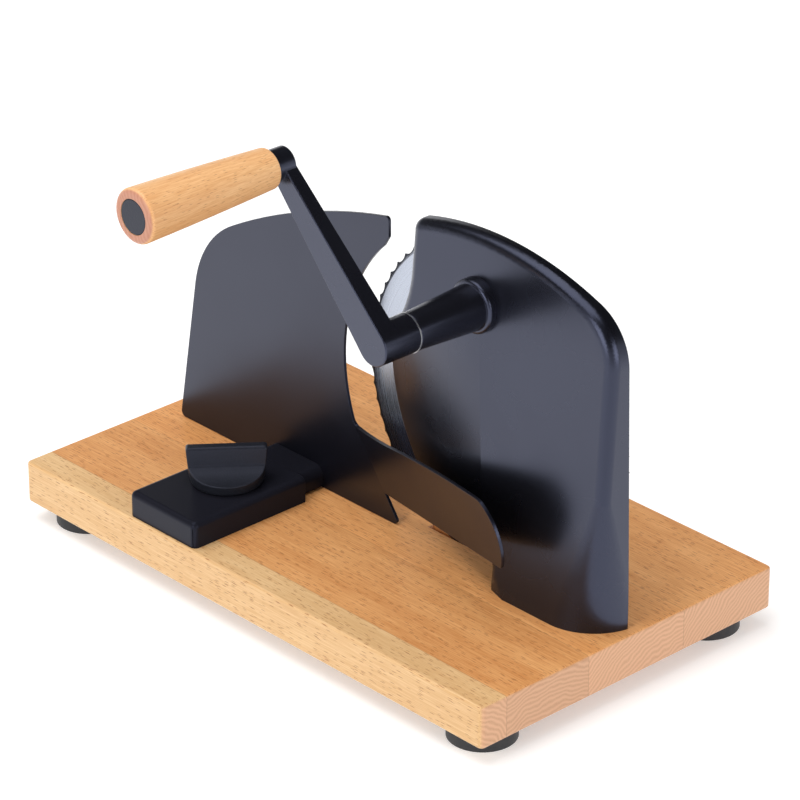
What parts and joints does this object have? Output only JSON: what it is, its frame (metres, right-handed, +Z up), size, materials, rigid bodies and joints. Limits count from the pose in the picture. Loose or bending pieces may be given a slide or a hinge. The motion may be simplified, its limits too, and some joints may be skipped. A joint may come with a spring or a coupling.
{
  "type": "hand cranked bread slicer",
  "caption": "Wooden board carrying an upright serrated round blade in a housing, turned by a side crank through gears, with a sliding stop plate that sets the slice thickness.",
  "frame": {"origin": "centre of the board in plan, on the plane that the feet stand on", "axes": "+X along the board towards the blade housing, +Y from the crank side towards the loaf side, +Z up"},
  "size_m": [0.34, 0.2634, 0.2616],
  "materials": {
    "board_wood": "oiled, glued staves",
    "handle_wood": "turned, oiled",
    "black_coat": "satin powder coat",
    "blade_steel": "ground and polished",
    "bare_steel": "turned",
    "zinc_steel": "zinc plated sheet",
    "screw_steel": "zinc plated",
    "bush_bronze": "sintered bearing bronze",
    "gear_plastic": "moulded, natural",
    "knob_plastic": "moulded, fine grain",
    "foot_rubber": "matt"
  },
  "bodies": {
    "base": {"base_board": "board_wood", "foot_front_left": "foot_rubber", "foot_front_right": "foot_rubber", "foot_rear_left": "foot_rubber", "foot_rear_right": "foot_rubber", "foot_screws": "screw_steel", "blade_housing": "black_coat", "housing_screws": "screw_steel", "back_plate": "zinc_steel", "back_plate_screws": "screw_steel", "crank_sleeve": "black_coat", "front_bush": "bush_bronze", "rear_bush": "bush_bronze", "blade_axle": "bare_steel", "axle_washer": "bare_steel", "blade_cap_screw": "screw_steel", "guide_box": "black_coat", "guide_plate": "bare_steel", "guide_screws": "screw_steel", "clamp_nut": "bare_steel"},
    "crank": {"crank_arm": "black_coat", "crank_shaft": "bare_steel", "spacer_ring": "bare_steel", "hub_set_screw": "screw_steel", "crank_pinion": "bare_steel", "pinion_clip": "bare_steel", "handle_pin": "bare_steel", "pin_clip": "bare_steel"},
    "handle": {"handle_grip": "handle_wood", "handle_plug": "knob_plastic"},
    "blade": {"blade_gear": "gear_plastic", "blade_disc": "blade_steel", "blade_screws": "screw_steel"},
    "slide": {"stop_plate": "black_coat", "slide_arm": "black_coat", "slide_screws": "screw_steel"},
    "knob": {"clamp_knob": "knob_plastic", "clamp_stud": "bare_steel"}
  },
  "joints": [
    {"name": "crank_turn", "type": "hinge", "parent": "base", "child": "crank", "pos_m": [0.07, -0.04, 0.1765], "axis": [0, 1, 0], "continuous": true},
    {"name": "handle_spin", "type": "hinge", "parent": "crank", "child": "handle", "pos_m": [0.00291, -0.12, 0.24794], "axis": [0, 1, 0], "continuous": true},
    {"name": "blade_turn", "type": "hinge", "parent": "base", "child": "blade", "pos_m": [0.07, 0, 0.115], "axis": [0, 1, 0], "continuous": true},
    {"name": "thickness_slide", "type": "slide", "parent": "base", "child": "slide", "axis": [0, -1, 0], "range_m": [-0.007, 0.0085]},
    {"name": "clamp_turn", "type": "hinge", "parent": "base", "child": "knob", "pos_m": [-0.06275, -0.0545, 0.049], "axis": [0, 0, 1], "range_deg": [0, 180]}
  ],
  "couplings": [
    {"joint": "blade_turn", "follows": "crank_turn", "ratio": -0.46429}
  ]
}
